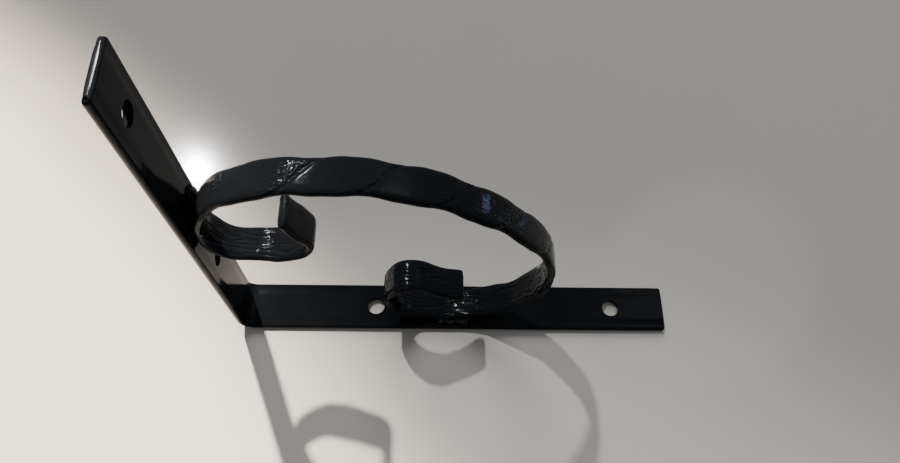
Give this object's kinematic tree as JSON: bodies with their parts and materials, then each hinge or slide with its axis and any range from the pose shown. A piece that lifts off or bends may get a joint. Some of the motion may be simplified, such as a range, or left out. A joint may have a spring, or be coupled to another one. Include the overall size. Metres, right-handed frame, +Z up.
{
  "type": "shelf bracket",
  "caption": "Right-angled flat-bar shelf bracket with a C-shaped scroll of relief-rolled strip welded inside its corner.",
  "frame": {"origin": "underside of the shelf leg, midway along its length and its width; the part stands on its shelf leg with the wall leg up", "axes": "+X runs along the shelf leg away from the corner, +Y across the bar, +Z up along the wall leg"},
  "size_m": [0.1844, 0.0196, 0.166],
  "materials": {
    "black_paint": "gloss black paint on mild steel",
    "scroll_paint": "gloss black paint on relief-rolled steel strip",
    "weld_paint": "gloss black paint over weld metal"
  },
  "bodies": {
    "root": {"angle_strap": "black_paint", "scroll_strip": "scroll_paint", "shelf_weld": "weld_paint", "wall_weld": "weld_paint"}
  },
  "joints": []
}
